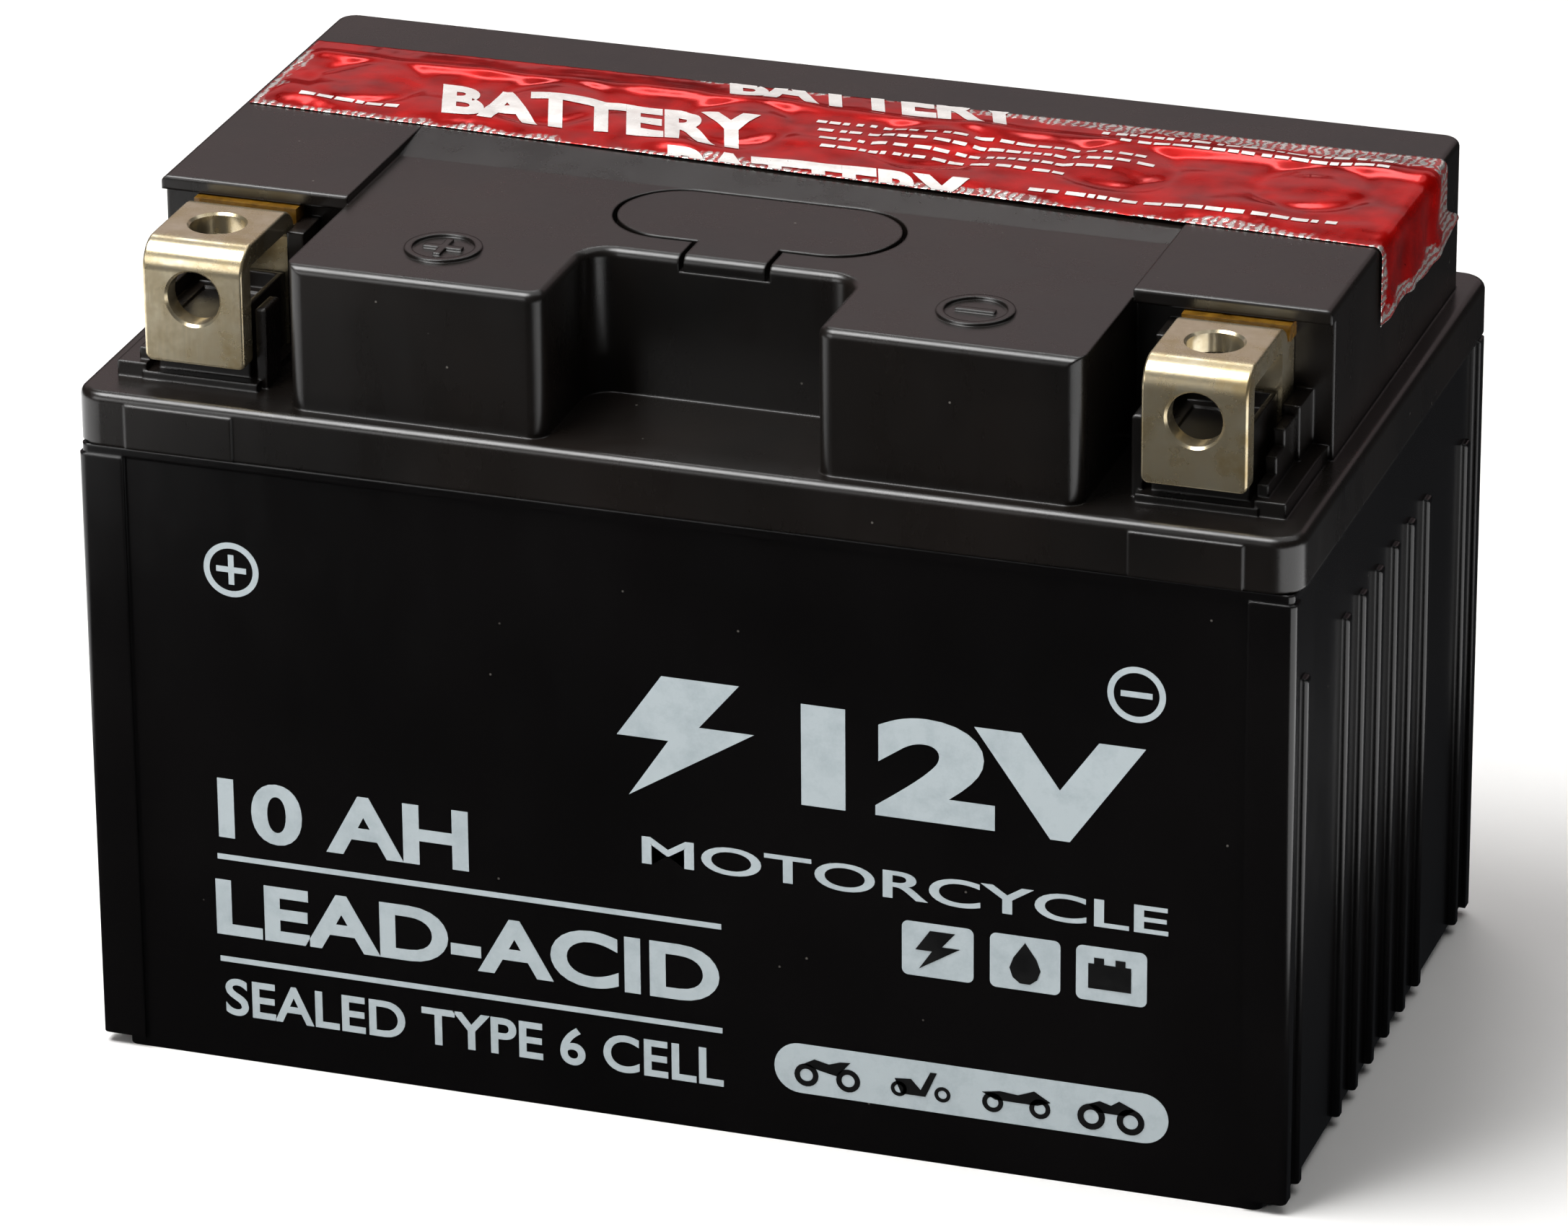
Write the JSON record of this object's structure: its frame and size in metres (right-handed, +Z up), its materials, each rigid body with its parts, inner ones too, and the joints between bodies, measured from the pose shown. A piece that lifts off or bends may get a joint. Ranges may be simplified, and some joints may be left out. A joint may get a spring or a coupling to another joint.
{
  "type": "motorcycle battery",
  "caption": "Sealed rectangular 12 V lead-acid motorcycle battery with saddle terminals at two front corners and a foil seal over its filler ports.",
  "frame": {"origin": "middle of the footprint, on the ground", "axes": "+X along the length to the negative terminal, -Y the printed front with the terminals, +Z up"},
  "size_m": [0.15, 0.087, 0.1054],
  "materials": {
    "case_plastic": "gloss",
    "cover_plastic": "satin",
    "rubber": "matt",
    "porous_disc": "matt",
    "foil": "metallic",
    "terminal_brass": "satin",
    "resin": "gloss",
    "lead": "satin",
    "positive_paste": "matt",
    "negative_paste": "matt",
    "glass_mat": "matt"
  },
  "bodies": {
    "battery": {"cell_1_negative_plates": "negative_paste", "cell_1_negative_strap": "lead", "cell_1_positive_plates": "positive_paste", "cell_1_positive_strap": "lead", "cell_1_separators": "glass_mat", "cell_2_negative_plates": "negative_paste", "cell_2_negative_strap": "lead", "cell_2_positive_plates": "positive_paste", "cell_2_positive_strap": "lead", "cell_2_separators": "glass_mat", "cell_3_negative_plates": "negative_paste", "cell_3_negative_strap": "lead", "cell_3_positive_plates": "positive_paste", "cell_3_positive_strap": "lead", "cell_3_separators": "glass_mat", "cell_4_negative_plates": "negative_paste", "cell_4_negative_strap": "lead", "cell_4_positive_plates": "positive_paste", "cell_4_positive_strap": "lead", "cell_4_separators": "glass_mat", "cell_5_negative_plates": "negative_paste", "cell_5_negative_strap": "lead", "cell_5_positive_plates": "positive_paste", "cell_5_positive_strap": "lead", "cell_5_separators": "glass_mat", "cell_6_negative_plates": "negative_paste", "cell_6_negative_strap": "lead", "cell_6_positive_plates": "positive_paste", "cell_6_positive_strap": "lead", "cell_6_separators": "glass_mat", "container": "case_plastic", "cover": "cover_plastic", "flame_arrestor": "porous_disc", "intercell_links": "lead", "negative_post": "lead", "negative_resin_seal": "resin", "negative_terminal": "terminal_brass", "positive_post": "lead", "positive_resin_seal": "resin", "positive_terminal": "terminal_brass", "vent_cover": "cover_plastic"},
    "foil": {"foil_seal": "foil"},
    "valve": {"relief_valve_cap": "rubber"}
  },
  "joints": [
    {"name": "foil_lift", "type": "slide", "parent": "battery", "child": "foil", "axis": [0, 0, 1], "range_m": [0, 0.06]},
    {"name": "valve_lift", "type": "slide", "parent": "battery", "child": "valve", "axis": [0, 0, 1], "range_m": [0, 0.0006], "stiffness_N_per_m": 2000}
  ]
}
